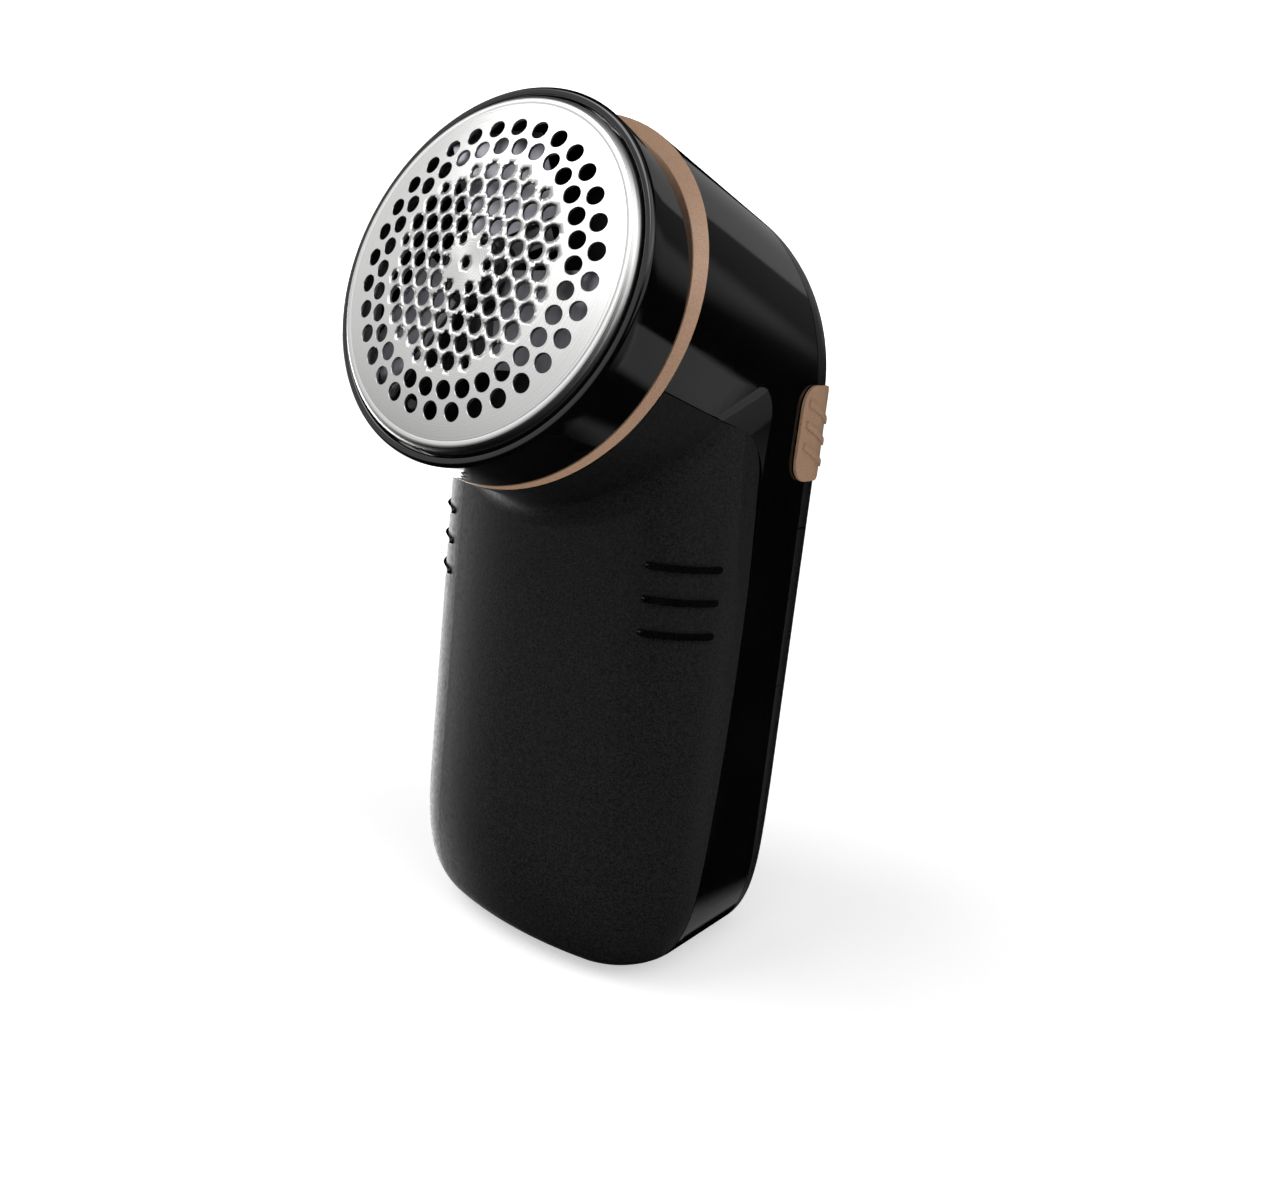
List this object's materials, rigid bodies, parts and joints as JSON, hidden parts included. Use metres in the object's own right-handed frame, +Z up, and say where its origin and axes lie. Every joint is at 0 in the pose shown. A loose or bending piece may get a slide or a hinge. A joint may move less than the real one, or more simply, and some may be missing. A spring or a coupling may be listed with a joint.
{
  "type": "fabric shaver",
  "caption": "Upright battery fabric shaver with a tilted round shaving head, lint container, thumb slider and battery door.",
  "frame": {"origin": "on the flat foot, under the middle of the handle", "axes": "+Z up the handle, -Y towards the front, where the shaving face is, and +X towards the side with the thumb slider"},
  "size_m": [0.0573, 0.0665, 0.1358],
  "materials": {
    "body_gloss": "high gloss black moulding",
    "container_matte": "fine grained matte black moulding",
    "rear_satin": "satin black moulding",
    "copper_trim": "satin copper paint",
    "collar_gloss": "high gloss black moulding",
    "mesh_metal": "spun satin steel",
    "hub_plastic": "plain black moulding",
    "blade_steel": "ground steel",
    "coupling_plastic": "plain natural moulding",
    "motor_steel": "plated steel",
    "cap_plastic": "plain white moulding",
    "magnet_ferrite": "sintered",
    "bearing_brass": "sintered bronze",
    "shaft_steel": "ground",
    "armature_iron": "laminated",
    "commutator_brass": "turned copper",
    "brush_carbon": "carbon",
    "screw_steel": "zinc plated",
    "cell_jacket": "printed jacket left plain",
    "tray_plastic": "plain black moulding",
    "contact_nickel": "nickel plated",
    "copper_paint": "satin copper paint",
    "lever_plastic": "plain",
    "switch_plastic": "plain"
  },
  "bodies": {
    "housing": {"body_shell": "body_gloss", "rear_cover": "rear_satin", "trim_ring": "copper_trim", "motor_can": "motor_steel", "motor_end_cap": "cap_plastic", "magnet_left": "magnet_ferrite", "magnet_right": "magnet_ferrite", "front_bearing": "bearing_brass", "rear_bearing": "bearing_brass", "brush_left": "brush_carbon", "brush_right": "brush_carbon", "motor_screws": "screw_steel", "case_screws": "screw_steel", "cell_1": "cell_jacket", "cell_2": "cell_jacket", "battery_tray": "tray_plastic", "bridge_contact": "contact_nickel", "contact_spring_low": "contact_nickel", "contact_spring_high": "contact_nickel", "positive_terminal": "contact_nickel", "negative_terminal": "contact_nickel", "switch_case": "switch_plastic"},
    "rotor": {"blade_carrier": "hub_plastic", "blade_1": "blade_steel", "blade_2": "blade_steel", "blade_3": "blade_steel", "fan": "hub_plastic", "drive_coupling": "coupling_plastic", "motor_shaft": "shaft_steel", "armature": "armature_iron", "commutator": "commutator_brass"},
    "mesh_guard": {"shaving_mesh": "mesh_metal"},
    "collar": {"retaining_collar": "collar_gloss"},
    "container": {"lint_container": "container_matte"},
    "door": {"battery_door": "rear_satin"},
    "slider": {"thumb_slider": "copper_paint", "switch_lever": "lever_plastic"}
  },
  "joints": [
    {"name": "blade_spin", "type": "hinge", "parent": "housing", "child": "rotor", "pos_m": [0, -0.0408, 0.111], "axis": [0, -0.9483, 0.3173], "continuous": true},
    {"name": "mesh_lift", "type": "slide", "parent": "housing", "child": "mesh_guard", "axis": [0, -0.9483, 0.3173], "range_m": [0, 0.03]},
    {"name": "collar_turn", "type": "hinge", "parent": "mesh_guard", "child": "collar", "pos_m": [0, -0.0408, 0.111], "axis": [0, -0.9483, 0.3173], "range_deg": [0, 20]},
    {"name": "container_pull", "type": "slide", "parent": "housing", "child": "container", "axis": [0, -0.3173, -0.9483], "range_m": [0, 0.08]},
    {"name": "door_slide", "type": "slide", "parent": "housing", "child": "door", "axis": [0, 0.0279, -0.9996], "range_m": [0, 0.08]},
    {"name": "switch_slide", "type": "slide", "parent": "housing", "child": "slider", "axis": [0, 0, 1], "range_m": [0, 0.004]}
  ]
}
